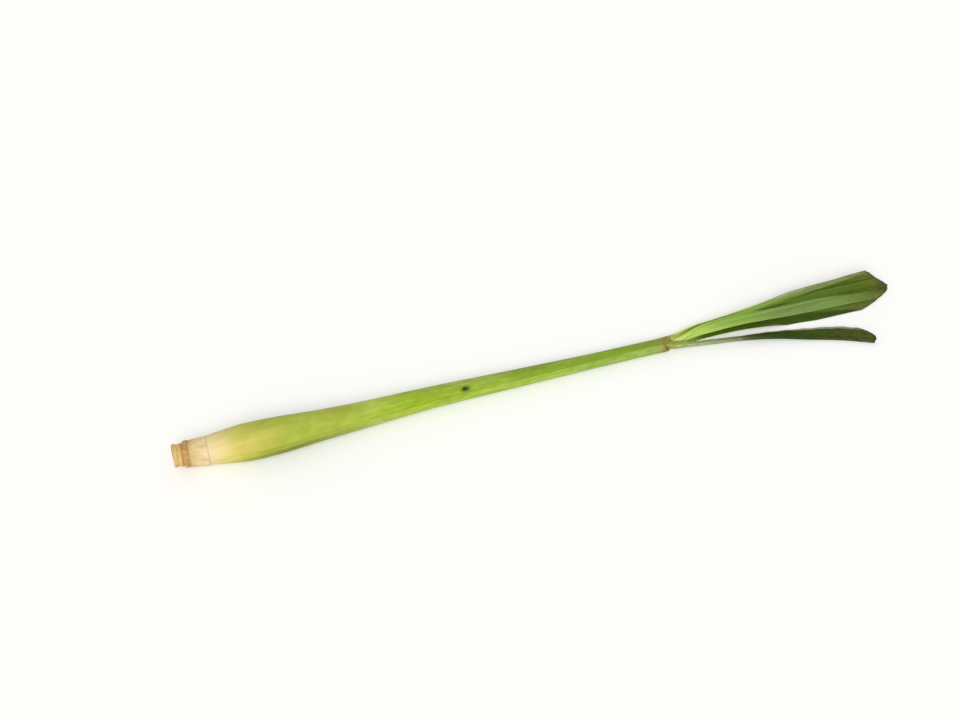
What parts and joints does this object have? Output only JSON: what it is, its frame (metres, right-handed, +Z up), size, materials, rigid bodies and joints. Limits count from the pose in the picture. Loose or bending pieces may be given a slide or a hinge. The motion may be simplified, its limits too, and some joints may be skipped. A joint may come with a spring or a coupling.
{
  "type": "lemongrass stalk",
  "caption": "Trimmed lemongrass stalk lying on a surface: pale bulb and woody root stub at one end, green sheaths rolled into a tapering stem, cut leaf blades fanned open at the other.",
  "frame": {"origin": "centre of the footprint, on the surface that the stalk lies on", "axes": "+X along the stalk from the root end to the cut blades, +Z up from the surface, +Y across towards the broad blade"},
  "size_m": [0.3698, 0.0358, 0.0184],
  "materials": {
    "root_culm": "matt, fibrous, tan with brown rings",
    "dried_sheath": "matt, dry and ribbed, orange brown",
    "pale_sheath": "satin, cream to tan",
    "outer_leaf": "satin, cream at the bulb to yellow green and mid green, finely veined",
    "opposite_leaf": "satin, dark green, finely veined, browned at the cut",
    "inner_leaf": "satin, light green, finely veined"
  },
  "bodies": {
    "root": {"root_culm": "root_culm", "lower_sheath_stub": "dried_sheath", "upper_sheath_stub": "pale_sheath", "outer_leaf": "outer_leaf", "opposite_leaf": "opposite_leaf", "inner_leaf": "inner_leaf"}
  },
  "joints": []
}
